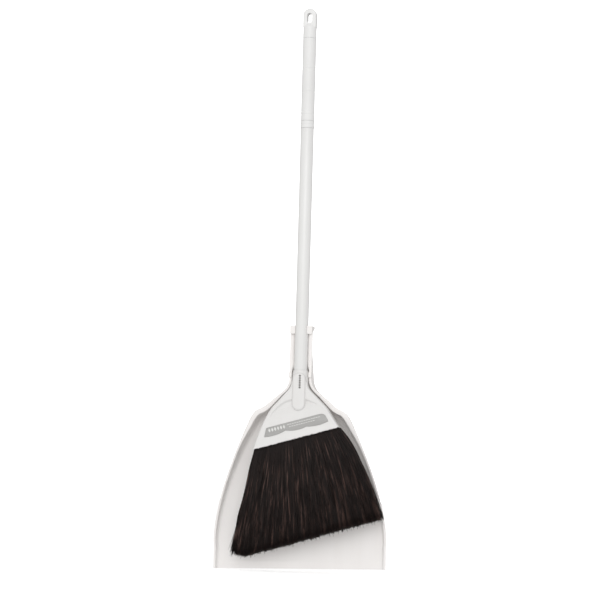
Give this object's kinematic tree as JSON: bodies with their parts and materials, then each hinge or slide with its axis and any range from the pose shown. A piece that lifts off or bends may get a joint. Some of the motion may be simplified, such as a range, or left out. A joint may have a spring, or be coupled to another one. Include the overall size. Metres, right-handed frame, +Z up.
{
  "type": "dust pan and brush set",
  "caption": "Long-handled white brush with a slanted fan of dark bristles, clipped by its pipe into an upright dust pan with a short channel handle; hangs by a slot in the loop at the top.",
  "frame": {"origin": "centre of the hanging slot in the loop at the top of the handle", "axes": "+Z up along the pipe, +X to the right as seen from the front, +Y from the brush towards the flat back of the pan"},
  "size_m": [0.2494, 0.05, 0.8027],
  "materials": {
    "coated_pipe": "smooth white coating on steel pipe",
    "grip_plastic": "moulded white plastic, satin",
    "head_plastic": "moulded white plastic, satin",
    "pan_plastic": "moulded white plastic, satin",
    "label_grey": "printed grey panel",
    "bristle": "dark brown flagged bristle",
    "block_wood": "plain unvarnished wood",
    "screw_steel": "zinc plated"
  },
  "bodies": {
    "broom": {"handle_pipe": "coated_pipe", "grip_sleeve": "grip_plastic", "joint_ferrule": "grip_plastic", "hanging_cap": "grip_plastic", "head_front_shell": "head_plastic", "head_rear_shell": "head_plastic", "bristle_block": "block_wood", "label_panel": "label_grey", "head_screw_left": "screw_steel", "head_screw_right": "screw_steel", "head_screw_top": "screw_steel", "tuft_front_01": "bristle", "tuft_front_02": "bristle", "tuft_front_03": "bristle", "tuft_front_04": "bristle", "tuft_front_05": "bristle", "tuft_front_06": "bristle", "tuft_front_07": "bristle", "tuft_front_08": "bristle", "tuft_front_09": "bristle", "tuft_front_10": "bristle", "tuft_front_11": "bristle", "tuft_front_12": "bristle", "tuft_front_13": "bristle", "tuft_front_14": "bristle", "tuft_middle_01": "bristle", "tuft_middle_02": "bristle", "tuft_middle_03": "bristle", "tuft_middle_04": "bristle", "tuft_middle_05": "bristle", "tuft_middle_06": "bristle", "tuft_middle_07": "bristle", "tuft_middle_08": "bristle", "tuft_middle_09": "bristle", "tuft_middle_10": "bristle", "tuft_middle_11": "bristle", "tuft_middle_12": "bristle", "tuft_middle_13": "bristle", "tuft_middle_14": "bristle", "tuft_back_01": "bristle", "tuft_back_02": "bristle", "tuft_back_03": "bristle", "tuft_back_04": "bristle", "tuft_back_05": "bristle", "tuft_back_06": "bristle", "tuft_back_07": "bristle", "tuft_back_08": "bristle", "tuft_back_09": "bristle", "tuft_back_10": "bristle", "tuft_back_11": "bristle", "tuft_back_12": "bristle", "tuft_back_13": "bristle", "tuft_back_14": "bristle"},
    "pan": {"pan_body": "pan_plastic"}
  },
  "joints": [
    {"name": "pan_release", "type": "slide", "parent": "broom", "child": "pan", "axis": [0, 1, 0], "range_m": [0, 0.08]}
  ]
}
